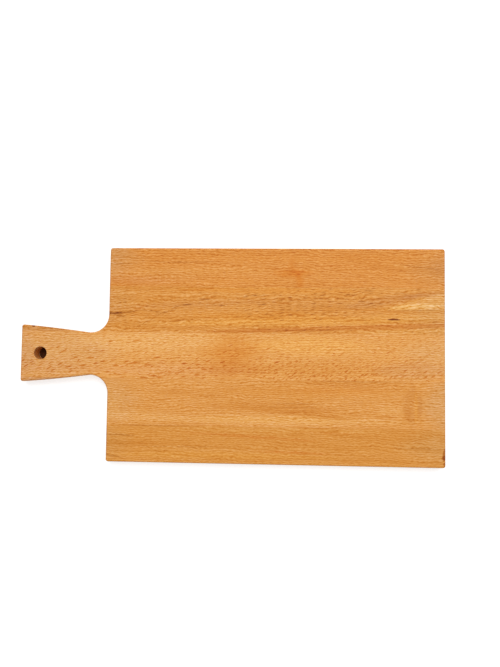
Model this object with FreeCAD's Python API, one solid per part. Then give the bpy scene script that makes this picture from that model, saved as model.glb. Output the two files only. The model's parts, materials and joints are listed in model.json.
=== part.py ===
"""Cutting board with a flared handle, edge-glued from five beech staves.

+X runs along the grain, from the handle's tip to the far end of the blade.
+Y runs across the staves, from the front edge to the rear edge.
+Z is up, out of the cutting face.
The origin is on the underside, in the middle of the board's length and width.

The board is made in the order of the workshop. Five staves of one width are glued up
as a panel, the panel is cut to the outline, the hanging hole is drilled, and every edge
is rounded over. Two of the glue lines lie just outside the narrow neck, so the cut
leaves a thin wedge of each neighbouring stave on the flared handle, held by a glue line
of its own.
"""

import FreeCAD, Part

import math
import os

# Blade: the rectangular cutting area (mm)
BLADE_LENGTH = 311.5
BLADE_WIDTH = 200.0
THICKNESS = 15.0

# Handle (mm)
HANDLE_LENGTH = 83.0  # from the blade's near end to the tip
TIP_WIDTH = 54.0
NECK_WIDTH = 39.8  # at the narrowest place
SIDE_BOW_RADIUS = 1200.0  # the handle's two sides bow outwards very slightly
SHOULDER_RADIUS = 17.0  # the concave corners between the neck and the blade

# Edges and corners (mm)
CORNER_RADIUS = 2.2  # the six outer corners, seen from above
EDGE_RADIUS = 1.5  # the round-over along the top and bottom edges

# Hanging hole (mm)
HOLE_DIAMETER = 12.0
HOLE_SETBACK = 18.5  # from the handle's tip to the hole's centre
HOLE_EDGE_RADIUS = 0.5

# Glued-up panel (mm)
STAVE_PITCH = 43.0  # from one glue line to the next
PANEL_OFFSET = -0.9  # the middle stave's centre line, off the board's centre line
GLUE_THICKNESS = 0.15
WEDGE_EDGE = 0.5  # the wedges on the handle end where they get thinner than this

# Tools
OVERRUN = 10.0  # how far a drill or a splitting block runs past the board
NEAR = 0.01  # edges this close to a place count as lying there

# Places along X
TIP_X = -(BLADE_LENGTH + HANDLE_LENGTH) / 2
NEAR_END_X = TIP_X + HANDLE_LENGTH
FAR_END_X = NEAR_END_X + BLADE_LENGTH
HOLE_X = TIP_X + HOLE_SETBACK
NECK_X = NEAR_END_X - SHOULDER_RADIUS

# Node names, from the front edge to the rear edge
STAVE_NAMES = ["front_edge_stave", "front_stave", "handle_stave", "rear_stave", "rear_edge_stave"]
GLUE_NAMES = ["front_edge_glue_line", "front_glue_line", "rear_glue_line", "rear_edge_glue_line"]


def mirrored(points):
    """The same points on the other side of the board's centre line, in reverse order."""
    return [FreeCAD.Vector(p.x, -p.y, p.z) for p in reversed(points)]


def shoulder_centre():
    """The centre of the rear shoulder's arc, which meets the blade's near end squarely."""
    return FreeCAD.Vector(NECK_X, NECK_WIDTH / 2 + SHOULDER_RADIUS, 0)


def side_bow_centre():
    """The centre of the rear side's bow, through the tip's corner and tangent to the shoulder."""
    tip_corner = FreeCAD.Vector(TIP_X, TIP_WIDTH / 2, 0)
    to_shoulder = shoulder_centre() - tip_corner
    span = to_shoulder.Length
    reach = SIDE_BOW_RADIUS + SHOULDER_RADIUS
    along = (SIDE_BOW_RADIUS**2 - reach**2 + span**2) / (2 * span)
    across = math.sqrt(SIDE_BOW_RADIUS**2 - along**2)
    direction = to_shoulder / span
    inwards = FreeCAD.Vector(direction.y, -direction.x, 0)
    return tip_corner + direction * along + inwards * across


def on_arc(centre, start, end):
    """The point halfway along the shorter arc from start to end."""
    middle = (start + end) / 2 - centre
    return centre + middle * ((start - centre).Length / middle.Length)


def outline():
    """The board's outline with sharp outer corners, as a closed wire on the underside."""
    tip_corner = FreeCAD.Vector(TIP_X, TIP_WIDTH / 2, 0)
    bow = side_bow_centre()
    shoulder = shoulder_centre()
    tangent = bow + (shoulder - bow) * (SIDE_BOW_RADIUS / (SIDE_BOW_RADIUS + SHOULDER_RADIUS))
    shoulder_end = FreeCAD.Vector(NEAR_END_X, shoulder.y, 0)
    near_corner = FreeCAD.Vector(NEAR_END_X, BLADE_WIDTH / 2, 0)
    far_corner = FreeCAD.Vector(FAR_END_X, BLADE_WIDTH / 2, 0)

    side = [tip_corner, on_arc(bow, tip_corner, tangent), tangent]
    neck = [tangent, on_arc(shoulder, tangent, shoulder_end), shoulder_end]
    edges = []
    for arc_points in (side, neck, mirrored(neck), mirrored(side)):
        edges.append(Part.Arc(*arc_points).toShape())
    rear_run = [shoulder_end, near_corner, far_corner]
    runs = [rear_run, [far_corner, mirrored([far_corner])[0]], mirrored(rear_run)]
    runs.append([mirrored([tip_corner])[0], tip_corner])
    for run in runs:
        for start, end in zip(run, run[1:]):
            edges.append(Part.LineSegment(start, end).toShape())
    return Part.Wire(Part.__sortEdges__(edges))


def is_upright(edge):
    """True for an edge that runs straight up through the board's thickness."""
    box = edge.BoundBox
    return box.ZLength > THICKNESS - NEAR and max(box.XLength, box.YLength) < NEAR


def is_outer_corner(edge):
    """True for an upright edge at the blade's four corners or the tip's two."""
    place = edge.BoundBox.Center
    at_blade = abs(place.y) > BLADE_WIDTH / 2 - NEAR
    at_tip = place.x < TIP_X + NEAR
    return at_blade or at_tip


def is_flat_at_face(edge):
    """True for an edge that lies in the cutting face or in the underside."""
    box = edge.BoundBox
    return box.ZMax < NEAR or box.ZMin > THICKNESS - NEAR


def hole_tool():
    """What the drill and the rounding bit take away: a revolved profile, flared at both mouths."""
    wall = HOLE_DIAMETER / 2
    mouth = wall + HOLE_EDGE_RADIUS
    turn = HOLE_EDGE_RADIUS * (1 - math.sin(math.radians(45)))

    def point(radius, z):
        return FreeCAD.Vector(radius, 0, z)

    low_wall = point(wall, HOLE_EDGE_RADIUS)
    high_wall = point(wall, THICKNESS - HOLE_EDGE_RADIUS)
    low_flare = Part.Arc(point(mouth, 0), point(wall + turn, turn), low_wall)
    high_flare = Part.Arc(high_wall, point(wall + turn, THICKNESS - turn), point(mouth, THICKNESS))
    top = [point(mouth, THICKNESS), point(mouth, THICKNESS + OVERRUN), point(0, THICKNESS + OVERRUN)]
    bottom = [point(0, -OVERRUN), point(mouth, -OVERRUN), point(mouth, 0)]
    lines = [(low_wall, high_wall), (top[-1], bottom[0])]
    lines += list(zip(top, top[1:])) + list(zip(bottom, bottom[1:]))
    edges = [low_flare.toShape(), high_flare.toShape()]
    edges += [Part.LineSegment(start, end).toShape() for start, end in lines]
    profile = Part.Face(Part.Wire(Part.__sortEdges__(edges)))
    tool = profile.revolve(FreeCAD.Vector(0, 0, 0), FreeCAD.Vector(0, 0, 1), 360)
    tool.translate(FreeCAD.Vector(HOLE_X, 0, 0))
    return tool


def finished_board():
    """The whole board as one shape, after cutting out, rounding over and drilling."""
    blank = Part.Face(outline()).extrude(FreeCAD.Vector(0, 0, THICKNESS))
    corners = [e for e in blank.Edges if is_upright(e) and is_outer_corner(e)]
    board = blank.makeFillet(CORNER_RADIUS, corners)
    rims = [e for e in board.Edges if is_flat_at_face(e)]
    board = board.makeFillet(EDGE_RADIUS, rims)
    return board.cut(hole_tool())


def stretches(seam):
    """Where the wood outside a glue line starts and ends along X, on the handle and the blade.

    A glue line just outside the neck leaves a wedge on the flared handle. Past the end of
    the wedge, the last shaving of wood out to the edge counts as the handle's own.
    """
    start, end = TIP_X - OVERRUN, FAR_END_X + OVERRUN
    edge = abs(seam) + GLUE_THICKNESS / 2 + WEDGE_EDGE
    if not NECK_WIDTH / 2 < edge < TIP_WIDTH / 2:
        return {"blade": (start, end)}
    bow = side_bow_centre()
    wedge_end = bow.x + math.sqrt(SIDE_BOW_RADIUS**2 - (edge - bow.y) ** 2)
    return {"handle": (start, wedge_end), "blade": (NECK_X, end)}


def split_panel(board):
    """Each stave, wedge and glue line of the board, by name."""
    middle = len(STAVE_NAMES) // 2
    seams = [PANEL_OFFSET + STAVE_PITCH * (i - middle - 0.5) for i in range(1, len(STAVE_NAMES))]
    limits = [-BLADE_WIDTH / 2 - OVERRUN] + seams + [BLADE_WIDTH / 2 + OVERRUN]
    half_glue = GLUE_THICKNESS / 2
    bands = [(name, y, y - half_glue, y + half_glue) for name, y in zip(GLUE_NAMES, seams)]
    for i, name in enumerate(STAVE_NAMES):
        inner_seam = limits[i + 1] if i < middle else limits[i]
        bands.append((name, inner_seam, limits[i] + half_glue, limits[i + 1] - half_glue))

    pieces = {}
    blocks = []
    for name, inner_seam, low, high in bands:
        if name == STAVE_NAMES[middle]:
            continue
        for place, (start, end) in stretches(inner_seam).items():
            corner = FreeCAD.Vector(start, low, -OVERRUN)
            block = Part.makeBox(end - start, high - low, THICKNESS + 2 * OVERRUN, corner)
            blocks.append(block)
            on_handle = "handle_" + name.replace("stave", "wedge")
            pieces[on_handle if place == "handle" else name] = board.common(block)
    pieces[STAVE_NAMES[middle]] = board.cut(blocks)
    return pieces


def main():
    os.makedirs("parts", exist_ok=True)
    for name, shape in split_panel(finished_board()).items():
        shape = shape.Solids[0] if len(shape.Solids) == 1 else shape
        shape.exportStep(f"parts/{name}.step")
        print(f"{name}: {len(shape.Solids)} solid, {shape.Volume:.0f} mm3, valid: {shape.isValid()}")


main()
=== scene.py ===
"""The looks of a beech cutting board: wood, glue lines, studio and camera.

+X runs along the grain to the far end, +Y across the staves to the rear edge, +Z out of
the cutting face. Lengths are in metres in Blender's own settings, and in millimetres
inside the wood's node groups and in the lists of marks, as a joiner would measure them.
"""

import json
import math
from typing import NamedTuple

import bmesh
import bpy
from bpy.props import CollectionProperty, FloatProperty, FloatVectorProperty, PointerProperty
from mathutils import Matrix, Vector


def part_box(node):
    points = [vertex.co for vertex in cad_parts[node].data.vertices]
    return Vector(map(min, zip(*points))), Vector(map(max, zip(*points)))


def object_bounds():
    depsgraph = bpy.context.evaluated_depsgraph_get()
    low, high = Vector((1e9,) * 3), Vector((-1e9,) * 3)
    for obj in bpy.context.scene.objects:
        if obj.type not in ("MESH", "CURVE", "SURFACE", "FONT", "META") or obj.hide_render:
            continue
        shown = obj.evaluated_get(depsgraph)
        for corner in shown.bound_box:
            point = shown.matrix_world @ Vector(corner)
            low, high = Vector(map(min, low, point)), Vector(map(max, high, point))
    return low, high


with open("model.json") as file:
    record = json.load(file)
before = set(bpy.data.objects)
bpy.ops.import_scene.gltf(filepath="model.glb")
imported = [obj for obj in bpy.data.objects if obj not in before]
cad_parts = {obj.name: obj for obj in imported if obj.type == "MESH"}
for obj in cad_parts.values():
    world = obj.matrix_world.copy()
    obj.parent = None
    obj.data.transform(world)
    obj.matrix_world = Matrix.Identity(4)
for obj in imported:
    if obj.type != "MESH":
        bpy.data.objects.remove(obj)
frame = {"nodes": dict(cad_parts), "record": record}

bl_info = {
    "name": "Cutting Board Finish",
    "version": (1, 0, 0),
    "blender": (4, 5, 0),
    "location": "View3D > Sidebar > Cutting Board",
    "description": "Gives an edge-glued beech cutting board its wood, glue lines and studio",
    "category": "Material",
}

MM = 0.001
CAD_LOW, CAD_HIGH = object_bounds()
THICKNESS = (CAD_HIGH[2] - CAD_LOW[2]) / MM
WHITE = (1.0, 1.0, 1.0, 1.0)

FLOAT = "NodeSocketFloat"
VECTOR = "NodeSocketVector"
NOISE_SWING = 0.25  # how far Blender's noise goes to each side of its middle


def srgb(red, green, blue):
    """A colour picked on a screen, 0 to 255, as the linear one that a shader takes."""
    linear = []
    for value in (red, green, blue):
        share = value / 255
        linear.append(share / 12.92 if share <= 0.04045 else ((share + 0.055) / 1.055) ** 2.4)
    return (*linear, 1.0)


# --- What the wood of this board looks like -------------------------------------------------

# How each kind of mark changes the wood under it: shares of its red, green and blue.
TINTS = {
    "bark": (0.66, 0.46, 0.20),
    "umber": (0.40, 0.20, 0.01),
    "brown": (0.56, 0.36, 0.02),
    "fleck": (0.80, 0.53, 0.20),
    "rust": (0.90, 0.64, 0.28),
    "ember": (0.95, 0.79, 0.42),
    "russet": (0.90, 0.77, 0.60),
    "amber": (0.945, 0.82, 0.57),
    "taupe": (0.93, 0.85, 0.67),
    "smoke": (0.92, 0.87, 0.80),
    "grey": (0.93, 0.92, 1.04),
    "pink": (0.97, 0.94, 1.06),
    "cool": (0.96, 1.05, 1.38),
    "gold": (1.02, 0.98, 0.78),
    "yellow": (1.07, 1.12, 1.05),
    "pale": (1.06, 1.16, 1.38),
    "cream": (1.14, 1.36, 1.80),
}


class Mark(NamedTuple):
    """A streak or patch: a spindle in the cutting face that tapers to both ends."""

    tint: str
    at: tuple  # its middle, along and across the board (mm)
    size: tuple  # its length and its greatest width (mm)
    strength: float
    tilt: float = 0.0  # degrees, rising towards the far end
    bow: float = 0.0  # how far its two ends drop below its middle (mm)
    soft: float = 0.7  # 0 for a hard rim, 1 for one that fades from the middle
    fray: float = 0.5  # how far the grain drags its rim about (mm)
    broken: float = 0.0  # 1 for a line that the grain breaks up into dashes
    depth: float = 7.0  # how deep it goes into the wood (mm)


def stain(tint, at, size, strength, **shape):
    """A mark with no rim, which fades from its middle."""
    return Mark(tint, at, size, strength, soft=1.0, **shape)


def placed_flecks(*places):
    """Single large ray flecks, each given as along, across, length (mm) and tilt (degrees)."""
    width = 1.7
    stretch = 1.3  # a spindle's ends are too thin to see, so it is made longer than the fleck
    marks = []
    for along, across, length, tilt in places:
        size = (length * stretch, width)
        marks.append(Mark("fleck", (along, across), size, 1.0, tilt, bow=0.3, soft=0.4, fray=0.45))
    return tuple(marks)


class Flecks(NamedTuple):
    """One crop of ray flecks, as sizes of the rays inside the wood (mm)."""

    length: float  # along the grain
    thickness: float  # around the growth rings
    gap_along: float
    gap_around: float
    share: float  # of the places that hold a ray
    tilt: float = 0.0  # how far a ray climbs around the rings over 1 mm of grain
    tilt_spread: float = 0.0
    strength: float = 1.0
    zone: tuple = (0.0, 900.0, 0.0, 900.0)  # middle and width, along, then across the board


class Stave(NamedTuple):
    """One board of the panel, with the wood that it was sawn from."""

    nodes: tuple
    wood: tuple  # its main colour
    cut_angle: float  # degrees from flat-sawn towards quarter-sawn
    heart_distance: float  # from the heart of the log to the stave's middle (mm)
    ring_width: float  # mm
    ring_contrast: float
    slope: float  # how far the grain climbs across the board over 1 mm of length
    line_contrast: float
    flecks: tuple
    marks: tuple
    wave: float = 1.0  # mm
    wave_length: float = 60.0  # mm
    fibre_length: float = 2.4  # the length of the dashes in the fine lines (mm)
    line_gap: float = 2.1  # between the fine lines along the grain (mm)
    fleck_shade: tuple = (0.72, 0.52, 0.10)  # what a ray fleck leaves of red, green and blue


REAR_EDGE_MARKS = (
    stain("pink", (-90, 69), (110, 15), 0.8),
    stain("cool", (-80, 73), (160, 30), 0.35),
    stain("cool", (-116, 96), (60, 40), 0.7),
    stain("pale", (-35, 78), (200, 13), 0.75),
    stain("gold", (60, 91), (340, 16), 0.34),
    stain("gold", (10, 69), (120, 9), 0.25),
    stain("cool", (-125, 90), (110, 54), 1.3),
    stain("grey", (-118, 80), (50, 60), 0.4),
    stain("pale", (-120, 82), (36, 60), 0.8),
    stain("cool", (212, 79), (130, 72), 1.05),
    stain("grey", (204, 84), (60, 50), 0.8),
    # Growth lines at the rear
    Mark("brown", (-46, 86.5), (84, 1.6), 0.65, fray=0.9, broken=0.6),
    Mark("brown", (-105, 85.2), (50, 1.4), 0.5, broken=0.5),
    # The small knot and the trail below it
    stain("ember", (58.5, 77), (54, 14), 0.8, fray=1.2, depth=15),
    Mark("ember", (60, 78.6), (46, 2.2), 0.9, fray=0.6, broken=0.3),
    Mark("ember", (55, 75.2), (28, 1.9), 0.8, fray=0.6, broken=0.3),
    stain("ember", (60.5, 77.5), (18, 8), 0.5, fray=1, depth=15),
    stain("ember", (64, 70), (26, 13), 0.95, tilt=104, fray=1.2, depth=15),
    stain("ember", (58, 84), (24, 12), 0.5, tilt=100, fray=1),
    # Lines and a pale dash beyond the knot
    Mark("rust", (100, 83.6), (90, 1.2), 0.4, broken=0.8),
    Mark("brown", (174, 83), (60, 1.4), 0.5, tilt=-7, fray=0.8, broken=0.5),
    Mark("cream", (157, 83.6), (22, 3), 0.35, tilt=-9),
)

REAR_MARKS = (
    Mark("gold", (35, 60.5), (220, 9), 1.3, soft=0.8),
    stain("amber", (35, 60.5), (240, 9), 0.3),
    Mark("gold", (35, 36), (200, 14), 0.9, soft=0.9),
    Mark("yellow", (45, 31), (300, 12), 1.05, tilt=1, soft=0.9),
    stain("pale", (160, 36), (130, 13), 0.3, tilt=1),
    stain("yellow", (158, 36), (130, 13), 0.55, tilt=1),
    Mark("grey", (-35, 47), (190, 13), 0.8, tilt=3, soft=0.9),
    Mark("grey", (75, 49), (150, 16), 0.35, soft=0.9),
    Mark("grey", (140, 51), (96, 13), 1.3, tilt=10, soft=0.8),
    Mark("grey", (178, 57), (60, 10), 1, tilt=6, soft=0.8),
    Mark("taupe", (176, 58), (70, 9), 0.85, tilt=7, soft=0.9),
    # The cream wedge at the far end
    Mark("cream", (204, 52), (124, 20), 0.6, tilt=8, soft=0.3, fray=0.8),
    Mark("cream", (169, 46.2), (72, 6.5), 0.75, tilt=4.5, soft=0.6),
    stain("pale", (208, 46), (44, 56), 0.15),
    Mark("brown", (175, 43), (64, 1.3), 0.45, tilt=2.4, broken=0.5),
    # The dark streak at the near end, and the lines and dashes beside it
    Mark("umber", (-111, 38), (24, 2.9), 0.8, soft=0.5, fray=0.9, broken=0.3, depth=10),
    Mark("brown", (-102, 38.7), (22, 2.2), 0.8, tilt=3, fray=0.9, broken=0.3, depth=10),
    Mark("brown", (-107, 36.6), (20, 1.8), 0.7, tilt=-3, fray=0.9, broken=0.2),
    Mark("brown", (-103, 35.2), (12, 1.6), 0.9, fray=0.6),
    Mark("brown", (-92, 39.9), (20, 1.4), 0.8, tilt=6, fray=0.8),
    Mark("rust", (-84, 43.4), (20, 1.3), 0.8, tilt=28, fray=0.8),
    Mark("brown", (-74, 40.3), (32, 1.2), 0.6, tilt=-7, fray=0.9, broken=0.2),
    Mark("brown", (-60, 39.5), (30, 1.4), 0.75, tilt=17, fray=1, broken=0.2),
    Mark("brown", (-51, 44.3), (14, 1.2), 0.7, tilt=22, fray=0.6),
    Mark("umber", (-40.5, 46.9), (15, 1.5), 0.8, fray=0.5),
    Mark("brown", (-80, 29.5), (28, 1.2), 0.65, tilt=29, fray=0.8, broken=0.2),
    stain("pale", (-84, 28.5), (80, 13), 0.2),
    Mark("brown", (-52, 31), (46, 1.1), 0.5, tilt=5, fray=0.8, broken=0.6),
    # Single dark dashes along the blade
    Mark("umber", (-24, 51.9), (15, 1.4), 0.7, fray=0.5, broken=0.2),
    Mark("umber", (-8, 46.3), (8, 1.5), 0.8, fray=0.4),
    Mark("umber", (29.5, 47.3), (12, 1.3), 0.6, tilt=3, fray=0.2),
    Mark("umber", (14, 54.6), (8, 1.3), 0.6, tilt=6),
    Mark("umber", (23, 56), (6, 1.3), 0.6, tilt=5, fray=0.2),
    Mark("brown", (127, 61), (9, 1.3), 0.6),
    Mark("brown", (157, 59.2), (17, 1.3), 0.6, fray=0.7, broken=0.5),
    Mark("brown", (173, 62.3), (8, 1.2), 0.6),
    Mark("brown", (121, 51), (10, 1.5), 0.6),
    # The mineral spindle
    Mark("umber", (150.5, 34.6), (14, 2.5), 1, soft=0.5, fray=0.4),
    Mark("umber", (151.5, 34.4), (14, 1.3), 0.7, tilt=-2, fray=0.4),
    # The long russet streak, and the pale wood below it
    Mark("russet", (130, 26.7), (370, 5), 1, tilt=2, soft=0.35, fray=0.4),
    Mark("russet", (25, 23.2), (130, 4), 0.4, tilt=1.6, soft=0.6, fray=0.5),
    Mark("russet", (130, 28.2), (370, 1.5), 0.9, tilt=2, fray=0.4, broken=0.4),
    Mark("brown", (68, 23.5), (90, 1.3), 0.5, fray=0.9, broken=1),
    Mark("pale", (172, 23.5), (140, 7), 1.5, tilt=1.5, soft=0.8),
    # The sliver on the handle
    Mark("grey", (-175, 24), (120, 30), 1, soft=0.8),
    Mark("cool", (-180, 24), (90, 30), 0.6, soft=0.8),
    Mark("taupe", (-170, 23.4), (46, 4), 0.9, tilt=-4, soft=0.6),
    Mark("umber", (-186, 25.2), (4, 2.4), 1, soft=0.5, fray=0.2),
    # Cooler, paler colour towards both ends
    stain("cool", (205, 36), (110, 90), 0.92),
    stain("cool", (-122, 50), (90, 70), 0.7),
    stain("grey", (-118, 42), (40, 56), 0.5),
)

HANDLE_MARKS = (
    Mark("pale", (-72, 12), (210, 34), 1.1, soft=0.9, fray=1.5),
    Mark("pink", (-60, -15), (200, 26), 0.85, soft=0.9, fray=1.5),
    stain("pale", (-70, -14), (130, 22), 0.3),
    stain("cool", (-170, 0), (130, 130), 0.95),
    stain("cool", (-118, 2), (50, 50), 0.35),
    stain("pink", (-160, -14), (96, 30), 0.5),
    stain("grey", (-204, -2), (60, 90), 1.35),
    stain("cool", (200, 4), (110, 60), 0.8),
    Mark("yellow", (72, 10), (150, 30), 0.9, soft=0.9),
    stain("taupe", (80, -13), (160, 28), 0.8),
    stain("grey", (168, -13), (96, 28), 1.3),
    # The warm patch in the blade
    stain("amber", (1, 5), (84, 50), 0.92, fray=4),
    stain("amber", (3, 4), (46, 44), 0.45, fray=4),
    stain("amber", (3, -13), (84, 32), 0.95, fray=3),
    stain("grey", (3, -13), (70, 26), 0.5, fray=2),
) + placed_flecks(
    (-195, -7, 4, 30), (-192, -12, 5, 35), (-178, -11, 6, 30), (-170, -14, 6, 33),
    (-166, -16, 5, 30), (-159, -10, 5, 25), (-157, 2, 7, 28), (-152, -12.5, 6, 15),
    (-162, 6, 4, 25), (-145, -4, 5, 15), (-142, -7, 3, 60), (-138, -11, 7, 12), (-131, -4, 8, 3),
    (-126, -9, 4, 10), (-119, -7, 5, 12), (-120, 3, 6, 12), (-112, 11.5, 4, 12), (-106, -11, 5, 5),
    (-97, -7, 5, 20), (-90, -8, 10, 12), (-76, -10, 7, 0), (-68, -3, 8, 5), (-71, -20, 7, 3),
    (-65, -21.3, 6, 4), (-79, -22, 5, 4), (-88, 12.5, 8, 10), (-42, -8.5, 6, 8), (-30, -8.8, 6, 0),
    (-30, -18.5, 6, 5), (-20, -5.5, 5, 25), (-7, -6.5, 5, 25), (-17, -12.5, 4, 10),
    (-24, -13.5, 4, 10), (-38, -12.5, 5, 8), (-56, -16, 4, 10), (-49, -17, 4, 10),
    (-43, -20.5, 4, 8), (44, -6, 6, 20),
)

FRONT_MARKS = (
    Mark("pale", (50, -59.5), (320, 15), 1, soft=0.8),
    Mark("yellow", (30, -59), (190, 12), 0.35, soft=0.9),
    stain("pale", (-90, -57), (120, 20), 0.82),
    stain("cool", (-126, -42), (110, 90), 0.9),
    stain("yellow", (-118, -44), (50, 60), 0.4),
    stain("cool", (215, -44), (100, 120), 1.6),
    stain("pale", (203, -42), (50, 60), 0.3),
    Mark("taupe", (42, -48), (160, 15), 0.82, tilt=-2, soft=0.7, fray=1),
    Mark("taupe", (78, -54.5), (84, 7.5), 1.22, tilt=-5, bow=1.5, soft=0.6, fray=1),
    Mark("taupe", (98, -56), (56, 4.5), 0.8, tilt=-4, soft=0.8, fray=0.8),
    stain("gold", (66, -33), (250, 16), 0.42),
    stain("amber", (104, -31), (120, 12), 0.55),
    stain("taupe", (10, -33), (200, 14), 0.42),
    Mark("brown", (64, -44), (64, 1.3), 0.45, broken=0.4),
    Mark("brown", (56, -47.4), (80, 1.3), 0.35, fray=0.8, broken=0.5),
    Mark("taupe", (72, -50.8), (60, 2.4), 0.9, fray=0.8),
    stain("taupe", (-50, -35.2), (56, 8), 0.9, fray=1),
    stain("taupe", (-17, -38), (50, 6), 1, fray=1),
    Mark("russet", (115, -26.8), (110, 2.2), 0.6, fray=0.9, broken=0.7),
    Mark("taupe", (100, -24.5), (150, 5), 1, soft=0.8),
    Mark("taupe", (117, -53), (28, 3.4), 0.9, fray=0.8),
    Mark("taupe", (143, -55), (28, 4), 0.9, fray=0.8),
    stain("pale", (148, -49), (36, 13), 0.8),
    # The grey band across the grain
    Mark("smoke", (167.5, -44.5), (46, 24), 0.85, tilt=90, soft=0.6, fray=1.5),
    stain("taupe", (164.5, -45), (44, 8), 0.12, tilt=90, fray=0.8),
    stain("taupe", (175, -46), (40, 5), 0.62, tilt=90, fray=0.8),
    Mark("yellow", (170.5, -46), (38, 5), 0.8, tilt=90, soft=0.8, fray=0.8),
    stain("gold", (171, -46), (40, 9), 0.35, tilt=90),
    stain("taupe", (162.5, -53), (22, 13), 0.8, tilt=84, fray=1),
    Mark("brown", (120, -22.9), (110, 1.3), 0.45, broken=0.3),
    # Painted shade: a thin darker band along the handle's front rim, where the round-over turns from
    # the light
    Mark("russet", (-162, -23), (90, 3.5), 0.4, tilt=3.5, soft=0.8, depth=3),
    # The sliver on the handle
    Mark("grey", (-182, -26), (100, 30), 1, soft=0.8),
    Mark("cool", (-182, -26), (100, 30), 1, soft=0.8),
)

FRONT_EDGE_MARKS = (
    stain("pale", (40, -68.5), (260, 9), 0.6),
    Mark("brown", (-66, -66), (104, 1.1), 0.6, fray=0.3, broken=0.4),
    Mark("yellow", (-10, -92.5), (280, 10), 0.6, soft=0.9),
    stain("taupe", (140, -90), (120, 16), 0.3),
    stain("cool", (212, -80), (140, 70), 1.1),
    stain("cool", (-126, -82), (90, 70), 0.8),
    Mark("brown", (-108, -75), (56, 2.2), 0.6, tilt=-1, fray=0.7, broken=0.4),
    Mark("rust", (22, -74.8), (170, 3.2), 0.6, tilt=-2.6, fray=1, broken=0.4),
    Mark("taupe", (-104, -83), (110, 11), 1.2, soft=0.9, fray=1),
    Mark("brown", (-45, -85), (150, 1.3), 0.5, fray=0.9, broken=0.9),
    Mark("rust", (60, -88.3), (84, 3), 0.7, tilt=-1.3, fray=0.7, broken=0.4),
    Mark("brown", (-110, -94), (30, 2.2), 0.6, tilt=-10, fray=0.7, broken=0.3),
    Mark("brown", (174, -82.7), (60, 1.4), 0.5, fray=0.6, broken=0.5),
    Mark("rust", (90, -70), (100, 1.4), 0.5, tilt=-1.2, broken=0.7),
    # The bark pocket at the far corner
    Mark("bark", (196.6, -87.4), (15, 4.6), 1, tilt=81, soft=0.3, fray=0.3, depth=6),
    Mark("bark", (196.4, -90.8), (7, 4.6), 1, tilt=14, soft=0.3, fray=0.3, depth=6),
    Mark("bark", (197, -96.4), (6.5, 4.6), 0.9, tilt=75, soft=0.5, fray=0.3, depth=5),
)

STAVES = {
    "rear_edge": Stave(
        nodes=("rear_edge_stave",),
        wood=(227, 154, 75),
        cut_angle=12,
        heart_distance=110,
        ring_width=3.2,
        ring_contrast=0.20,
        slope=-0.010,
        wave=0.9,
        wave_length=45,
        line_contrast=0.60,
        flecks=(Flecks(5.0, 0.8, 6.5, 2.2, share=0.6, tilt_spread=0.25, strength=0.6),),
        marks=REAR_EDGE_MARKS,
    ),
    "rear": Stave(
        nodes=("rear_stave", "handle_rear_wedge"),
        wood=(226, 157, 78),
        cut_angle=22,
        heart_distance=90,
        ring_width=3.6,
        ring_contrast=0.35,
        slope=0.02,
        wave=1.5,
        fibre_length=2.5,
        line_gap=2.3,
        line_contrast=0.60,
        fleck_shade=(0.62, 0.44, 0.05),
        flecks=(
            Flecks(6.8, 0.75, 7.6, 2.4, share=0.62, tilt=0.09, tilt_spread=0.12, strength=1.75,
                   zone=(75, 130, 49, 30)),
            Flecks(5.5, 0.95, 7, 2.6, share=0.6, tilt=0.03, tilt_spread=0.2, strength=0.6),
        ),
        marks=REAR_MARKS,
    ),
    "handle": Stave(
        nodes=("handle_stave",),
        wood=(235, 171, 97),
        cut_angle=70,
        heart_distance=120,
        ring_width=3.0,
        ring_contrast=0.08,
        slope=0.015,
        wave=0.8,
        wave_length=70,
        fibre_length=1.9,
        line_gap=2.0,
        line_contrast=0.45,
        fleck_shade=(0.78, 0.50, 0.14),
        flecks=(
            Flecks(7.0, 0.50, 9.5, 1.6, share=0.6, tilt=0.09, tilt_spread=0.12, strength=1.0,
                   zone=(-100, 240, -14, 24)),
            Flecks(3.9, 0.36, 4.1, 0.92, share=0.85, tilt=0.10, tilt_spread=0.08, strength=1.5,
                   zone=(84, 122, -13, 22)),
            Flecks(6.0, 0.42, 6.5, 1.2, share=0.75, tilt=0.12, tilt_spread=0.06, strength=1.0,
                   zone=(172, 56, -13, 22)),
            Flecks(5.0, 0.42, 6.0, 0.95, share=0.8, tilt=0.14, tilt_spread=0.10, strength=0.5,
                   zone=(-165, 90, 0, 70)),
            Flecks(6.0, 0.40, 6.0, 0.95, share=0.8, tilt=0.07, tilt_spread=0.12, strength=1.0),
        ),
        marks=HANDLE_MARKS,
    ),
    "front": Stave(
        nodes=("front_stave", "handle_front_wedge"),
        wood=(230, 164, 90),
        cut_angle=8,
        heart_distance=140,
        ring_width=3.4,
        ring_contrast=0.15,
        slope=0.0,
        line_gap=1.9,
        line_contrast=0.56,
        flecks=(Flecks(5.0, 0.75, 7.5, 2.2, share=0.5, tilt_spread=0.25, strength=0.45),),
        marks=FRONT_MARKS,
    ),
    "front_edge": Stave(
        nodes=("front_edge_stave",),
        wood=(223, 155, 76),
        cut_angle=18,
        heart_distance=100,
        ring_width=3.4,
        ring_contrast=0.3,
        slope=-0.025,
        line_contrast=0.46,
        flecks=(Flecks(5.0, 0.75, 7.5, 2.2, share=0.5, tilt=-0.03, tilt_spread=0.25, strength=0.45),),
        marks=FRONT_EDGE_MARKS,
    ),
}

SEED_STEP = 11.0  # from stave to stave, so that no two show the same grain
CROP_SEED_STEP = 7.3  # from one crop of ray flecks to the next
GLUE_SEED = 3.0

# How much of the wood's lightness each part of the grain takes or gives
BROAD_DEPTH = 0.06
TONE_DEPTH = 0.3  # from ring to ring, at a ring contrast of 1
LATE_DEPTH = 0.35  # late wood on a face along the grain, at a ring contrast of 1
END_LATE_DEPTH = 0.26  # late wood on end grain, on top of that
# A darker streak is also a redder one: the powers by which red, green and blue follow it.
FALL_OFF = (0.45, 1.0, 2.6)

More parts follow.
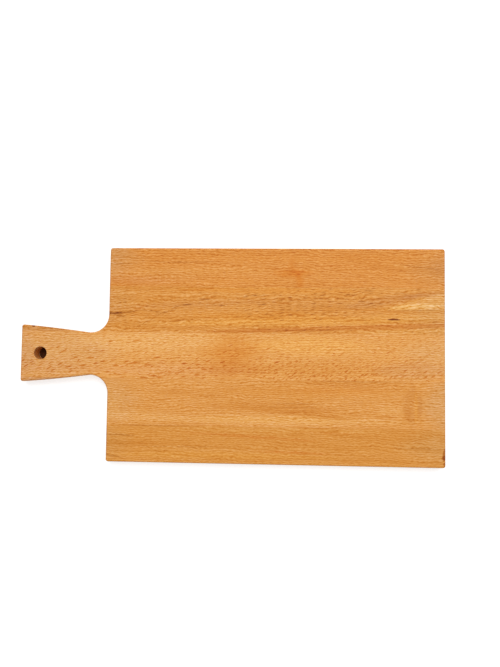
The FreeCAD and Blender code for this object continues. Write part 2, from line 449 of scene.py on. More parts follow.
PORE_SHADE = (0.7, 0.5, 0.2, 1.0)
PORE_STRENGTH = 0.25
END_RAY_SHADE = (1.14, 1.17, 1.20, 1.0)
GLUE_DARK_SHADE = (0.80, 0.68, 0.48, 1.0)

FLOOR_DARK = (0.54, 0.54, 0.54, 1.0)
FLOOR_PALE = (0.56, 0.56, 0.56, 1.0)
HOLE_PAINTED_SHADE = (0.07, 0.026, 0.012, 1.0)  # painted shade: the dark floor where the hanging hole shows it

KEY_PLACE = (0.4, 1.5, 3.4)
UNDER_PLACE = (0.4, -1.0, -3.0)
LAMP_SIZE = 2.0


# --- Wiring nodes together ------------------------------------------------------------------


class Wiring:
    """Adds nodes to one node tree and links them.

    A value is a number, a colour, a vector or another node's output.
    """

    def __init__(self, tree):
        self.tree = tree

    def feed(self, socket, value):
        if isinstance(value, bpy.types.NodeSocket):
            self.tree.links.new(value, socket)
        else:
            socket.default_value = value

    def add(self, kind, inputs=None, **settings):
        """A new node of this kind, its inputs fed by name or number."""
        node = self.tree.nodes.new(kind)
        for name, value in settings.items():
            setattr(node, name, value)
        for socket, value in (inputs or {}).items():
            self.feed(node.inputs[socket], value)
        return node

    def group(self, name, inputs, label=""):
        """The outputs of a shared node group that is placed here with these values."""
        group = shared_group(name)
        return self.add("ShaderNodeGroup", inputs, node_tree=group, label=label).outputs

    def math(self, operation, *values):
        return self.add("ShaderNodeMath", dict(enumerate(values)), operation=operation).outputs[0]

    def minus(self, value, less):
        return self.math("SUBTRACT", value, less)

    def times(self, value, factor):
        return self.math("MULTIPLY", value, factor)

    def over(self, value, divisor):
        return self.math("DIVIDE", value, divisor)

    def scaled(self, value, factor, start):
        """The start plus the value times the factor."""
        return self.math("MULTIPLY_ADD", value, factor, start)

    def vector(self, operation, *values):
        node = self.add("ShaderNodeVectorMath", dict(enumerate(values)), operation=operation)
        return node.outputs["Value" if operation == "LENGTH" else "Vector"]

    def join(self, x, y, z):
        return self.add("ShaderNodeCombineXYZ", {"X": x, "Y": y, "Z": z}).outputs[0]

    def split(self, vector):
        return tuple(self.add("ShaderNodeSeparateXYZ", {0: vector}).outputs)

    def between(self, value, low, high):
        """0 at low and 1 at high, with a smooth change between them."""
        inputs = {"Value": value, "From Min": low, "From Max": high}
        node = self.add("ShaderNodeMapRange", inputs, interpolation_type="SMOOTHSTEP")
        return node.outputs["Result"]

    def noise(self, place, detail=1.0, roughness=0.5):
        """Noise about 1 unit of place across, as its value and its colour."""
        inputs = {"Vector": place, "Scale": 1.0, "Detail": detail, "Roughness": roughness}
        return self.add("ShaderNodeTexNoise", inputs).outputs

    def blend(self, mode, factor, under, over):
        """Two colours, one over the other."""
        node = self.add("ShaderNodeMix", data_type="RGBA", blend_type=mode)
        sockets = {socket.identifier: socket for socket in node.inputs}
        self.feed(sockets["Factor_Float"], factor)
        self.feed(sockets["A_Color"], under)
        self.feed(sockets["B_Color"], over)
        return next(s for s in node.outputs if s.identifier == "Result_Color")


def new_group(name, inputs, outputs):
    """A new node group, as its wiring, its inputs and the node that takes its outputs.

    Each input is given by its default number, or as VECTOR, and each output by its kind.
    """
    tree = bpy.data.node_groups.new(name, "ShaderNodeTree")
    for socket_name, value in inputs.items():
        kind = VECTOR if value == VECTOR else FLOAT
        socket = tree.interface.new_socket(socket_name, in_out="INPUT", socket_type=kind)
        if kind == FLOAT:
            socket.default_value = value
    for socket_name, kind in outputs.items():
        tree.interface.new_socket(socket_name, in_out="OUTPUT", socket_type=kind)
    wires = Wiring(tree)
    return wires, wires.add("NodeGroupInput").outputs, wires.add("NodeGroupOutput").inputs


# --- Node groups: the effects that the materials share --------------------------------------


def make_board_place(name):
    """Where a point lies in the board, in mm: as measured, and straightened along the grain."""
    wires, given, result = new_group(
        name,
        {"Slope": 0.0, "Wave": 1.0, "Wave Length": 60.0, "Seed": 0.0},
        {"Measured": VECTOR, "Along Grain": VECTOR},
    )
    wave_flatness = 0.25  # how tall a wave is, as a share of its length
    place = wires.add("ShaderNodeTexCoord").outputs["Object"]
    measured = wires.vector("MULTIPLY", place, (1 / MM, 1 / MM, 1 / MM))
    x, y, z = wires.split(measured)
    height = wires.times(given["Wave Length"], wave_flatness)
    wave_place = wires.join(
        wires.math("ADD", wires.over(x, given["Wave Length"]), given["Seed"]),
        wires.over(y, height),
        wires.over(z, height),
    )
    waves = wires.noise(wave_place, detail=2.0)["Color"]
    _, wave_y, wave_z = wires.split(wires.vector("SUBTRACT", waves, (0.5, 0.5, 0.5)))
    size = wires.over(given["Wave"], NOISE_SWING)
    climb = wires.times(x, given["Slope"])
    straight_y = wires.minus(wires.scaled(wave_y, size, y), climb)
    straight_z = wires.scaled(wave_z, size, z)
    wires.feed(result["Measured"], measured)
    wires.feed(result["Along Grain"], wires.join(x, straight_y, straight_z))
    return wires.tree


def make_growth_rings(name):
    """A point's place in the log: along the grain, around the rings and out from the heart."""
    wires, given, result = new_group(
        name,
        {
            "Place": VECTOR, "Middle": 0.0, "Cut Angle": 0.0,
            "Heart Distance": 100.0, "Ring Width": 3.0, "Seed": 0.0,
        },
        {"In Log": VECTOR, "Tone": FLOAT, "Late Wood": FLOAT},
    )
    unevenness = 3.0  # how many rings the noise moves them by
    uneven_along, uneven_around, uneven_outwards = 0.006, 0.03, 0.06  # changes per mm
    tones_per_ring = 0.7
    dark_tone, pale_tone = 0.25, 0.75  # levels of the noise
    late_start, year_end = 0.45, 0.95  # shares of a ring

    x, y, z = wires.split(given["Place"])
    heart = given["Heart Distance"]
    sideways = wires.times(heart, wires.math("SINE", given["Cut Angle"]))
    downwards = wires.times(heart, wires.math("COSINE", given["Cut Angle"]))
    across = wires.minus(wires.minus(y, given["Middle"]), sideways)
    above = wires.math("ADD", wires.minus(z, THICKNESS / 2), downwards)
    radius = wires.vector("LENGTH", wires.join(across, above, 0.0))
    around = wires.times(wires.math("ARCTAN2", across, above), heart)
    wires.feed(result["In Log"], wires.join(x, around, radius))

    uneven_place = wires.join(
        wires.scaled(x, uneven_along, given["Seed"]),
        wires.times(around, uneven_around),
        wires.times(radius, uneven_outwards),
    )
    uneven = wires.noise(uneven_place, detail=2.0)["Fac"]
    rings = wires.scaled(uneven, unevenness, wires.over(radius, given["Ring Width"]))
    tone_inputs = {"W": rings, "Scale": tones_per_ring, "Detail": 1.0}
    tone = wires.add("ShaderNodeTexNoise", tone_inputs, noise_dimensions="1D").outputs["Fac"]
    wires.feed(result["Tone"], wires.between(tone, dark_tone, pale_tone))
    season = wires.math("FRACT", rings)
    late = wires.between(season, late_start, year_end)
    turn_of_year = wires.between(season, 1.0, year_end)
    wires.feed(result["Late Wood"], wires.times(late, turn_of_year))
    return wires.tree


def make_fibres(name):
    """Fine broken lines along the grain, softer streaks, and the pores as short scratches."""
    wires, given, result = new_group(
        name,
        {"Place": VECTOR, "Length": 2.4, "Line Gap": 2.1, "Seed": 0.0},
        {"Lines": FLOAT, "Fine": FLOAT, "Broad": FLOAT, "Drag": FLOAT, "Pores": FLOAT},
    )
    drift = 2.2  # line gaps by which the lines wander, so that their gaps are uneven
    bend = 0.9  # line gaps by which they bend over the bend length
    bend_length = 1.8  # dashes
    narrowness = 1.6  # above 1, the dark lines are narrower than the pale gaps
    middle = 0.42  # the lines' own mean, taken off so that they add no broad blotches
    faintest = 0.15  # what stays of a line between its dashes
    level = 0.24  # what the lines take from the wood on the whole
    dash_end, dash_full = 0.36, 0.60  # levels of the noise
    pore_rim, pore_full = 0.58, 0.74  # also of the noise
    roughness = 0.6  # how much of the noise lies in its finer layers

    def streaks(length, width, detail):
        """Noise drawn out along the grain, of about this length and width in mm."""
        spread = wires.join(wires.over(1.0, length), 1 / width, 1 / width)
        place = wires.vector("MULTIPLY_ADD", given["Place"], spread, given["Seed"])
        return wires.noise(place, detail, roughness)["Fac"]

    _, y, z = wires.split(given["Place"])
    count = wires.over(wires.math("ADD", y, z), given["Line Gap"])
    count = wires.scaled(streaks(30.0, 9.0, 0.0), drift, count)
    bends = streaks(wires.times(given["Length"], bend_length), 3.0, 0.0)
    count = wires.scaled(bends, bend, count)
    line = wires.math("SINE", wires.times(count, 2 * math.pi))
    line = wires.math("POWER", wires.scaled(line, 0.5, 0.5), narrowness)
    line = wires.minus(line, middle)
    dash = wires.between(streaks(given["Length"], 1.3, 0.0), dash_end, dash_full)
    dash = wires.scaled(dash, 1.0 - faintest, faintest)
    wires.feed(result["Lines"], wires.scaled(line, dash, level))
    wires.feed(result["Fine"], streaks(3.0, 0.8, 1.0))
    wires.feed(result["Broad"], streaks(60.0, 3.2, 2.0))
    wires.feed(result["Drag"], wires.minus(streaks(15.0, 6.0, 2.0), 0.5))
    wires.feed(result["Pores"], wires.between(streaks(2.2, 0.16, 1.0), pore_rim, pore_full))
    return wires.tree


def make_ray_flecks(name):
    """Ray flecks: thin blades of rays that run out from the heart, cut by whatever face is sawn."""
    wires, given, result = new_group(
        name,
        {
            "In Log": VECTOR, "Length": 4.0, "Thickness": 0.6, "Gap Along": 6.0, "Gap Around": 2.0,
            "Share": 0.6, "Tilt": 0.0, "Tilt Spread": 0.0, "Fray": 0.0, "Seed": 0.0,
        },
        {"Mask": FLOAT},
    )
    scatter = 0.7  # 0 for rays in even rows, 1 for rays at random
    smallest, size_spread = 0.6, 0.5  # shares of the length and thickness that are given
    faintest = 0.5
    rim, full = 1.05, 0.4  # where a fleck ends and where it is darkest, out from its middle

    gaps = wires.join(given["Gap Along"], given["Gap Around"], 1.0)
    place = wires.vector("ADD", wires.vector("DIVIDE", given["In Log"], gaps), given["Seed"])
    cell_inputs = {"Vector": place, "Scale": 1.0, "Randomness": scatter}
    cells = wires.add("ShaderNodeTexVoronoi", cell_inputs, voronoi_dimensions="2D").outputs
    offset = wires.vector("MULTIPLY", wires.vector("SUBTRACT", place, cells["Position"]), gaps)
    along, around, _ = wires.split(offset)
    chance, size_chance, tilt_chance = wires.split(cells["Color"])
    tilt = wires.scaled(wires.minus(tilt_chance, 0.5), given["Tilt Spread"], given["Tilt"])
    around = wires.minus(around, wires.times(along, tilt))
    around = wires.scaled(given["Fray"], given["Thickness"], around)
    share_along = wires.over(along, wires.times(given["Length"], 0.5))
    share_around = wires.over(around, wires.times(given["Thickness"], 0.5))
    size = wires.scaled(size_chance, size_spread, smallest)
    share_along = wires.over(share_along, size)
    share_around = wires.math("ABSOLUTE", wires.over(share_around, size))
    from_middle = wires.scaled(share_along, share_along, share_around)
    mask = wires.between(from_middle, rim, full)
    held = wires.math("LESS_THAN", chance, given["Share"])
    shade = wires.scaled(tilt_chance, 1.0 - faintest, faintest)
    wires.feed(result["Mask"], wires.times(wires.times(mask, held), shade))
    return wires.tree


def make_grain_mark(name):
    """The mask of one streak, stain or patch in the cutting face."""
    wires, given, result = new_group(
        name,
        {
            "Measured": VECTOR, "Fray": 0.0, "Streak": 0.0, "Middle": VECTOR, "Length": 20.0,
            "Width": 2.0, "Tilt": 0.0, "Bow": 0.0, "Softness": 0.7, "Fray Size": 0.5,
            "Broken": 0.0, "Depth": 7.0, "Strength": 1.0,
        },
        {"Mask": FLOAT},
    )
    depth_fray = 8.0  # mm
    dark_streak, pale_streak = -0.06, 0.10  # a broken mark shows in the first, not in the second
    fade_start = -0.3  # the share of its depth at which a mark begins to fade

    offset = wires.vector("SUBTRACT", given["Measured"], given["Middle"])
    turn = {"Vector": offset, "Angle": wires.times(given["Tilt"], -1.0)}
    turned = wires.add("ShaderNodeVectorRotate", turn, rotation_type="Z_AXIS").outputs[0]
    along, across, up = wires.split(turned)
    share_along = wires.over(along, wires.times(given["Length"], 0.5))
    square = wires.times(share_along, share_along)
    across = wires.scaled(square, given["Bow"], across)
    across = wires.scaled(given["Fray"], given["Fray Size"], across)
    share_across = wires.over(across, wires.times(given["Width"], 0.5))
    inside = wires.minus(wires.minus(1.0, square), wires.math("ABSOLUTE", share_across))
    mask = wires.between(inside, 0.0, given["Softness"])
    gap = wires.times(wires.between(given["Streak"], dark_streak, pale_streak), given["Broken"])
    mask = wires.times(mask, wires.minus(1.0, gap))
    ragged_up = wires.scaled(given["Fray"], depth_fray, up)
    below_face = wires.over(ragged_up, given["Depth"])
    mask = wires.times(mask, wires.between(below_face, -1.0, fade_start))
    wires.feed(result["Mask"], wires.times(mask, given["Strength"]))
    return wires.tree


def make_soft_zone(name):
    """1 inside an oblong of the board and 0 outside it, with a soft rim."""
    inputs = {"Measured": VECTOR, "Middle": VECTOR, "Width": VECTOR}
    wires, given, result = new_group(name, inputs, {"Mask": FLOAT})
    rim_start, rim_end = 0.40, 0.56  # shares of the width, out from the middle
    offset = wires.vector("SUBTRACT", given["Measured"], given["Middle"])
    share = wires.vector("ABSOLUTE", wires.vector("DIVIDE", offset, given["Width"]))
    along, across, _ = wires.split(share)
    furthest = wires.math("MAXIMUM", along, across)
    wires.feed(result["Mask"], wires.between(furthest, rim_end, rim_start))
    return wires.tree


def make_end_grain(name):
    """Where the saw went across the grain, and the rays there: thin lines out from the heart."""
    inputs = {"In Log": VECTOR, "Seed": 0.0}
    wires, given, result = new_group(name, inputs, {"Mask": FLOAT, "Rays": FLOAT})
    rays_around, rays_outwards = 1.3, 0.13  # changes per mm
    ray_rim, ray_full = 0.54, 0.66  # levels of the noise
    slanting, square = 0.35, 0.95  # how far a face looks along the board
    normal = wires.vector("ABSOLUTE", wires.add("ShaderNodeTexCoord").outputs["Normal"])
    sawn_across = wires.between(wires.split(normal)[0], slanting, square)
    _, around, radius = wires.split(given["In Log"])
    around = wires.scaled(around, rays_around, given["Seed"])
    spread = wires.join(around, wires.times(radius, rays_outwards), 0.0)
    rays = wires.between(wires.noise(spread)["Fac"], ray_rim, ray_full)
    wires.feed(result["Mask"], sawn_across)
    wires.feed(result["Rays"], wires.times(rays, sawn_across))
    return wires.tree


GROUP_MAKERS = {
    "Board Place": make_board_place,
    "Growth Rings": make_growth_rings,
    "Fibres": make_fibres,
    "Ray Flecks": make_ray_flecks,
    "Grain Mark": make_grain_mark,
    "Soft Zone": make_soft_zone,
    "End Grain": make_end_grain,
}


def shared_group(name):
    """The node group of this name, made when a material first asks for it."""
    return bpy.data.node_groups.get(name) or GROUP_MAKERS[name](name)


# --- Settings that a user would change ------------------------------------------------------


class StaveWood(bpy.types.PropertyGroup):
    """The wood of one stave of the panel, which its name says."""

    wood_colour: FloatVectorProperty(
        name="Wood Colour", description="The main colour of the wood between its marks",
        subtype="COLOR", size=4, min=0.0, max=1.0, default=srgb(221, 151, 74),
    )
    fleck_shade: FloatVectorProperty(
        name="Fleck Shade",
        description="What the ray flecks leave of the wood's red, green and blue",
        subtype="COLOR", size=4, min=0.0, max=1.0, default=(0.72, 0.52, 0.10, 1.0),
    )
    ring_width: FloatProperty(
        name="Ring Width", description="How far apart the growth rings lie",
        subtype="DISTANCE", unit="LENGTH", min=0.0005, default=0.0032,
    )
    cut_angle: FloatProperty(
        name="Cut Angle", description="0 for a flat-sawn stave, 90 degrees for a quarter-sawn one",
        subtype="ANGLE", unit="ROTATION", default=math.radians(15),
    )


class BoardFinish(bpy.types.PropertyGroup):
    """How the wood and the glue of the whole board are finished."""

    staves: CollectionProperty(
        type=StaveWood, name="Staves", description="The staves, from the rear edge to the front"
    )
    fibre_contrast: FloatProperty(
        name="Fibre Contrast", description="How strongly the fine streaks along the grain show",
        min=0.0, max=2.0, default=0.53,
    )
    end_grain_colour: FloatVectorProperty(
        name="End Grain Shade",
        description="What sawn-across grain leaves of the wood's red, green and blue",
        subtype="COLOR", size=4, min=0.0, max=1.0, default=(0.80, 0.68, 0.58, 1.0),
    )
    glue_colour: FloatVectorProperty(
        name="Glue Colour", description="The thin film of glue between the staves",
        subtype="COLOR", size=4, min=0.0, max=1.0, default=srgb(220, 150, 76),
    )
    relief: FloatProperty(
        name="Relief", description="How deep the open grain is under the oil",
        subtype="DISTANCE", unit="LENGTH", min=0.0, default=0.00006,
    )


class Studio(bpy.types.PropertyGroup):
    """The camera and lights around the board."""

    camera_place: FloatVectorProperty(
        name="Camera Place", description="Where the camera stands, almost straight above the board",
        subtype="TRANSLATION", unit="LENGTH", size=3, default=(0.04901, -0.01226, 0.61588),
    )
    camera_turn: FloatVectorProperty(
        name="Camera Turn", description="How the camera is turned from looking straight down",
        subtype="EULER", unit="ROTATION", size=3,
        default=(math.radians(3.136), math.radians(2.856), math.radians(0.755)),
    )
    lens: FloatProperty(
        name="Lens", description="The camera's focal length, for a 36 mm frame",
        subtype="DISTANCE_CAMERA", unit="CAMERA", min=1.0, default=35.08,
    )
    sky_light: FloatProperty(
        name="Sky Light", description="Even light from all round",
        min=0.0, default=0.487,
    )
    key_power: FloatProperty(
        name="Key Power", description="The large soft lamp behind the board",
        subtype="POWER", unit="POWER", min=0.0, default=82.0,
    )
    under_power: FloatProperty(
        name="Under Power",
        description="The lamp that shows the underside, through a floor that is clear from below",
        subtype="POWER", unit="POWER", min=0.0, default=36.0,
    )
    floor_size: FloatProperty(
        name="Floor Size", description="The width of the pale floor",
        subtype="DISTANCE", unit="LENGTH", min=0.5, default=8.0,
    )


def fill_staves(finish):
    """Writes the list of staves into the settings, where a user can change them."""
    finish.staves.clear()
    for name, stave in STAVES.items():
        item = finish.staves.add()
        item.name = name
        item.wood_colour = srgb(*stave.wood)
        item.fleck_shade = (*stave.fleck_shade, 1.0)
        item.ring_width = stave.ring_width * MM
        item.cut_angle = math.radians(stave.cut_angle)


# --- Materials ------------------------------------------------------------------------------


def new_material(name):
    """A new material, as its wiring and its one shader."""
    material = bpy.data.materials.new(name)
    material.use_nodes = True
    return material, Wiring(material.node_tree), material.node_tree.nodes["Principled BSDF"]


def add_relief(wires, shader, height, depth, strength):
    """A fine relief of this depth in the shader's surface."""
    bump_inputs = {"Height": height, "Distance": depth, "Strength": strength}
    bump = wires.add("ShaderNodeBump", bump_inputs)
    wires.feed(shader.inputs["Normal"], bump.outputs["Normal"])


def add_marks(wires, colour, marks, measured, fray, streak):
    """The wood's colour with each streak, stain and patch laid over it."""
    for mark in marks:
        mask = wires.group(
            "Grain Mark",
            {
                "Measured": measured, "Fray": fray, "Streak": streak,
                "Middle": (*mark.at, THICKNESS), "Length": mark.size[0], "Width": mark.size[1],
                "Tilt": math.radians(mark.tilt), "Bow": mark.bow, "Softness": mark.soft,
                "Fray Size": mark.fray / NOISE_SWING, "Broken": mark.broken,
                "Depth": mark.depth, "Strength": mark.strength,
            },
            label=mark.tint,
        )["Mask"]
        colour = wires.blend("MULTIPLY", mask, colour, (*TINTS[mark.tint], 1.0))
    return colour


def add_flecks(wires, crops, in_log, measured, fray, seed):
    """How much of a ray fleck shows at each point, from all of the stave's crops of them."""
    total = 0.0
    for number, crop in enumerate(crops):
        mask = wires.group(
            "Ray Flecks",
            {
                "In Log": in_log, "Length": crop.length, "Thickness": crop.thickness,
                "Gap Along": crop.gap_along, "Gap Around": crop.gap_around, "Share": crop.share,
                "Tilt": crop.tilt, "Tilt Spread": crop.tilt_spread,
                "Fray": fray, "Seed": seed + CROP_SEED_STEP * number,
            },
        )["Mask"]
        along, along_width, across, across_width = crop.zone
        middle, width = (along, across, 0.0), (along_width, across_width, 1.0)
        zone_inputs = {"Measured": measured, "Middle": middle, "Width": width}
        zone = wires.group("Soft Zone", zone_inputs)["Mask"]
        strength = wires.times(zone, crop.strength)
        total = wires.math("MAXIMUM", total, wires.times(mask, strength))
    return total


def add_grain(wires, stave, finish, rings, fibres, streak, end_mask, long_grain):
    """What the rings, streaks and fine lines leave of the wood's red, green and blue."""
    ring_depth = wires.scaled(end_mask, -END_LATE_DEPTH, -stave.ring_contrast * LATE_DEPTH)
    line_depth = wires.times(long_grain, -stave.line_contrast)
    lightness = wires.scaled(streak, finish.fibre_contrast, 1.0)
    for tone in (
        wires.scaled(fibres["Broad"], BROAD_DEPTH, 1.0 - BROAD_DEPTH / 2),
        wires.scaled(rings["Tone"], stave.ring_contrast * TONE_DEPTH, 1.0),
        wires.scaled(rings["Late Wood"], ring_depth, 1.0),
        wires.scaled(fibres["Lines"], line_depth, 1.0),
    ):
        lightness = wires.times(lightness, tone)
    return wires.join(*(wires.math("POWER", lightness, power) for power in FALL_OFF))


def make_beech(name, stave, wood, finish, seed):
    """Oiled beech for one stave: rings, fibres, rays and its own marks, solid all through."""
    material, wires, shader = new_material(f"Beech {name}")
    low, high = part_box(stave.nodes[0])
    place_inputs = {"Slope": stave.slope, "Wave": stave.wave, "Wave Length": stave.wave_length}
    place = wires.group("Board Place", {**place_inputs, "Seed": seed})
    measured = place["Measured"]
    along_grain = {"Place": place["Along Grain"], "Seed": seed}
    log_inputs = {
        "Middle": (low.y + high.y) / 2 / MM,
        "Cut Angle": wood.cut_angle,
        "Heart Distance": stave.heart_distance,
        "Ring Width": wood.ring_width / MM,
    }
    rings = wires.group("Growth Rings", {**along_grain, **log_inputs})
    fibre_inputs = {"Length": stave.fibre_length, "Line Gap": stave.line_gap}
    fibres = wires.group("Fibres", {**along_grain, **fibre_inputs})
    in_log = rings["In Log"]
    end = wires.group("End Grain", {"In Log": in_log, "Seed": seed})
    long_grain = wires.minus(1.0, end["Mask"])
    streak = wires.minus(fibres["Fine"], 0.5)
    fray = wires.scaled(streak, 0.5, fibres["Drag"])

    grain = add_grain(wires, stave, finish, rings, fibres, streak, end["Mask"], long_grain)
    flecks = add_flecks(wires, stave.flecks, in_log, measured, streak, seed)
    flecks = wires.times(flecks, long_grain)
    pores = wires.times(fibres["Pores"], PORE_STRENGTH)
    colour = wires.blend("MULTIPLY", 1.0, tuple(wood.wood_colour), grain)
    colour = wires.blend("MULTIPLY", flecks, colour, tuple(wood.fleck_shade))
    colour = add_marks(wires, colour, stave.marks, measured, fray, streak)
    colour = wires.blend("MULTIPLY", pores, colour, PORE_SHADE)
    colour = wires.blend("MULTIPLY", end["Mask"], colour, tuple(finish.end_grain_colour))
    colour = wires.blend("MULTIPLY", end["Rays"], colour, END_RAY_SHADE)
    wires.feed(shader.inputs["Base Color"], colour)

    # Roughness of the oiled wood, which open grain raises and hard rays lower.
    oiled, open_grain, on_rays, on_end_grain = 0.42, 0.16, -0.08, 0.14
    sheen = wires.scaled(fibres["Fine"], open_grain, oiled)
    sheen = wires.scaled(flecks, on_rays, sheen)
    sheen = wires.scaled(end["Mask"], on_end_grain, sheen)
    wires.feed(shader.inputs["Roughness"], sheen)
    shader.inputs["Specular IOR Level"].default_value = 0.14

    pore_height, ray_height = -0.6, -0.2  # shares of the relief
    height = wires.scaled(fibres["Pores"], pore_height, fibres["Fine"])
    height = wires.scaled(flecks, ray_height, height)
    add_relief(wires, shader, height, finish.relief, 0.6)
    return material


def make_glue(finish):
    """Set wood glue: a thin film, a little glossier than the wood and darker in patches."""
    material, wires, shader = new_material("Wood glue")
    changes_per_mm = (0.05, 0.6, 0.6)
    pale_patch, dark_patch = 0.35, 0.65  # levels of the noise
    glossy, patchiness = 0.32, 0.2  # roughness

    place = wires.group("Board Place", {"Wave": 0.2, "Wave Length": 20.0, "Seed": GLUE_SEED})
    spread = wires.vector("MULTIPLY", place["Measured"], changes_per_mm)
    patches = wires.noise(spread, detail=3.0)["Fac"]
    shade = wires.between(patches, pale_patch, dark_patch)
    colour = wires.blend("MULTIPLY", shade, tuple(finish.glue_colour), GLUE_DARK_SHADE)
    wires.feed(shader.inputs["Base Color"], colour)
    wires.feed(shader.inputs["Roughness"], wires.scaled(patches, patchiness, glossy))
    shader.inputs["Specular IOR Level"].default_value = 0.3
    add_relief(wires, shader, patches, finish.relief, 0.4)
    return material


def white_rays(wires):
    """1 for the rays that should see a plain white studio, and the outputs of Light Path."""
    rays = wires.add("ShaderNodeLightPath").outputs
    seen = wires.math("MAXIMUM", rays["Is Camera Ray"], rays["Is Glossy Ray"])
    return wires.math("MAXIMUM", seen, rays["Is Transmission Ray"]), rays


def mount_on_floor(name):
    """The middle of one of the board's mounts, on the floor under it."""
    for mount in frame["record"]["mounts"]:
        if mount["name"] == name:
            x, y, _ = mount["pos_m"]
            return (x, y, 0.0)
    raise RuntimeError(f"the record has no mount {name}")


def make_floor_material():
    """A matt pale floor that shows white round the board's shadow, painted shade under the hanging
    hole, and nothing from below.
    """
    material, wires, shader = new_material("Pale floor")
    spot_core, spot_rim = 0.0084, 0.012  # radii of the painted shade spot under the hanging hole (m)
    grain_per_metre = (90.0, 90.0, 90.0)
    near, far = 0.7, 1.6  # distances from the hole, between which the glow grows (m)
    glow_near, glow_far = 0.67, 1.0  # no horizon shows, because the far floor glows more
    touching = 0.001  # a ray shorter than this comes from what lies on the floor

    seen, rays = white_rays(wires)
    place = wires.add("ShaderNodeTexCoord").outputs["Object"]
    offset = wires.vector("SUBTRACT", place, mount_on_floor("hanging_hole"))
    from_hole = wires.vector("LENGTH", offset)
    beyond_hole_shade = wires.between(from_hole, spot_core, spot_rim)
    grain = wires.noise(wires.vector("MULTIPLY", place, grain_per_metre), detail=3.0)["Fac"]
    pale = wires.blend("MIX", grain, FLOOR_DARK, FLOOR_PALE)
    # Painted shade: the floor is dark brown under the hanging hole, so the hole reads dark.
    wires.feed(shader.inputs["Base Color"], wires.blend("MIX", beyond_hole_shade, HOLE_PAINTED_SHADE, pale))
    shader.inputs["Roughness"].default_value = 0.9
    shader.inputs["Specular IOR Level"].default_value = 0.0
    shader.inputs["Emission Color"].default_value = WHITE
    glow = wires.scaled(wires.between(from_hole, near, far), glow_far - glow_near, glow_near)
    glow = wires.times(wires.times(seen, beyond_hole_shade), glow)
    wires.feed(shader.inputs["Emission Strength"], glow)

    close = wires.math("LESS_THAN", rays["Ray Length"], touching)
    below = wires.add("ShaderNodeNewGeometry").outputs["Backfacing"]
    clear = wires.math("MAXIMUM", close, below)
    glass = wires.add("ShaderNodeBsdfTransparent").outputs[0]
    surface = wires.add("ShaderNodeMixShader", {0: clear, 1: shader.outputs[0], 2: glass})
    output = material.node_tree.nodes["Material Output"]
    wires.feed(output.inputs["Surface"], surface.outputs[0])
    return material


# --- Operators ------------------------------------------------------------------------------


class BOARD_OT_finish_staves(bpy.types.Operator):
    """Give the five staves, and the wedges cut from two of them, their wood"""

    bl_idname = "cutting_board.finish_staves"
    bl_label = "Finish Staves"

    def execute(self, context):
        finish = context.scene.board_finish
        for number, wood in enumerate(finish.staves, start=1):
            stave = STAVES[wood.name]
            beech = make_beech(wood.name, stave, wood, finish, SEED_STEP * number)
            for node in stave.nodes:
                frame["nodes"][node].material_slots[0].material = beech
        return {"FINISHED"}


class BOARD_OT_finish_glue(bpy.types.Operator):
    """Give the glue lines between the staves and wedges their material"""

    bl_idname = "cutting_board.finish_glue"
    bl_label = "Finish Glue Lines"

    def execute(self, context):
        glue = make_glue(context.scene.board_finish)
        for name, node in frame["nodes"].items():
            if name.endswith("glue_line"):
                node.material_slots[0].material = glue
        return {"FINISHED"}


def place_in_scene(name, data):
    """A new object that holds this data."""
    thing = bpy.data.objects.new(name, data)
    bpy.context.scene.collection.objects.link(thing)
    return thing


def add_lamp(name, place, power):
    """A large square lamp at a place, turned to face the board."""
    lamp = bpy.data.lights.new(name, "AREA")
    lamp.size = LAMP_SIZE
    lamp.energy = power
    holder = place_in_scene(name, lamp)
    holder.location = place
    holder.rotation_euler = (-Vector(place)).to_track_quat("-Z", "Y").to_euler()


def add_floor(size):
    """The floor just under the board."""
    clearance = 0.0002
    mesh = bpy.data.meshes.new("Floor")
    shape = bmesh.new()
    bmesh.ops.create_grid(shape, x_segments=1, y_segments=1, size=size / 2)
    shape.to_mesh(mesh)
    shape.free()
    mesh.materials.append(make_floor_material())
    floor = place_in_scene("Floor", mesh)
    floor.location.z = CAD_LOW[2] - clearance


def light_world(strength):
    """A sky that shows plain white and lights the board at the given strength."""
    world = bpy.data.worlds.new("Studio")
    world.use_nodes = True
    wires = Wiring(world.node_tree)
    seen, _ = white_rays(wires)
    extra = wires.times(seen, 1.0 - strength)
    background = world.node_tree.nodes["Background"]
    background.inputs["Color"].default_value = WHITE
    wires.feed(background.inputs["Strength"], wires.math("ADD", extra, strength))
    bpy.context.scene.world = world


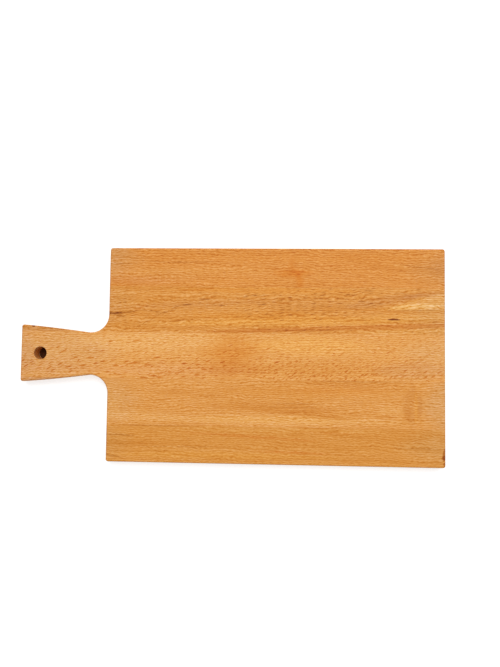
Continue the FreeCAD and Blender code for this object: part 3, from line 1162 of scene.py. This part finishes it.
class BOARD_OT_set_studio(bpy.types.Operator):
    """Set up the floor, the light and the camera"""

    bl_idname = "cutting_board.set_studio"
    bl_label = "Set Studio"

    def execute(self, context):
        scene = context.scene
        studio = scene.board_studio
        scene.view_settings.view_transform = "Standard"
        add_floor(studio.floor_size)
        light_world(studio.sky_light)
        add_lamp("Key", KEY_PLACE, studio.key_power)
        add_lamp("Under", UNDER_PLACE, studio.under_power)
        camera_data = bpy.data.cameras.new("Camera")
        camera_data.lens = studio.lens
        camera = place_in_scene("Camera", camera_data)
        camera.location = studio.camera_place
        camera.rotation_euler = studio.camera_turn
        scene.camera = camera
        return {"FINISHED"}


class BOARD_PT_panel(bpy.types.Panel):
    """The cutting board's settings and steps"""

    bl_idname = "BOARD_PT_panel"
    bl_label = "Cutting Board"
    bl_space_type = "VIEW_3D"
    bl_region_type = "UI"
    bl_category = "Cutting Board"

    def draw(self, context):
        layout = self.layout
        finish = context.scene.board_finish
        studio = context.scene.board_studio
        for wood in finish.staves:
            box = layout.box()
            box.label(text=wood.name)
            for name in ("wood_colour", "fleck_shade", "ring_width", "cut_angle"):
                box.prop(wood, name)
        for name in ("fibre_contrast", "end_grain_colour", "glue_colour", "relief"):
            layout.prop(finish, name)
        layout.operator(BOARD_OT_finish_staves.bl_idname)
        layout.operator(BOARD_OT_finish_glue.bl_idname)
        for name in ("camera_place", "camera_turn", "lens", "sky_light"):
            layout.prop(studio, name)
        for name in ("key_power", "under_power", "floor_size"):
            layout.prop(studio, name)
        layout.operator(BOARD_OT_set_studio.bl_idname)


CLASSES = (
    StaveWood,
    BoardFinish,
    Studio,
    BOARD_OT_finish_staves,
    BOARD_OT_finish_glue,
    BOARD_OT_set_studio,
    BOARD_PT_panel,
)


def register():
    for cls in CLASSES:
        bpy.utils.register_class(cls)
    bpy.types.Scene.board_finish = PointerProperty(type=BoardFinish)
    bpy.types.Scene.board_studio = PointerProperty(type=Studio)


def unregister():
    del bpy.types.Scene.board_studio
    del bpy.types.Scene.board_finish
    for cls in reversed(CLASSES):
        bpy.utils.unregister_class(cls)


def main():
    register()
    fill_staves(bpy.context.scene.board_finish)
    bpy.ops.cutting_board.finish_staves()
    bpy.ops.cutting_board.finish_glue()
    bpy.ops.cutting_board.set_studio()


if __name__ == "__main__":
    main()
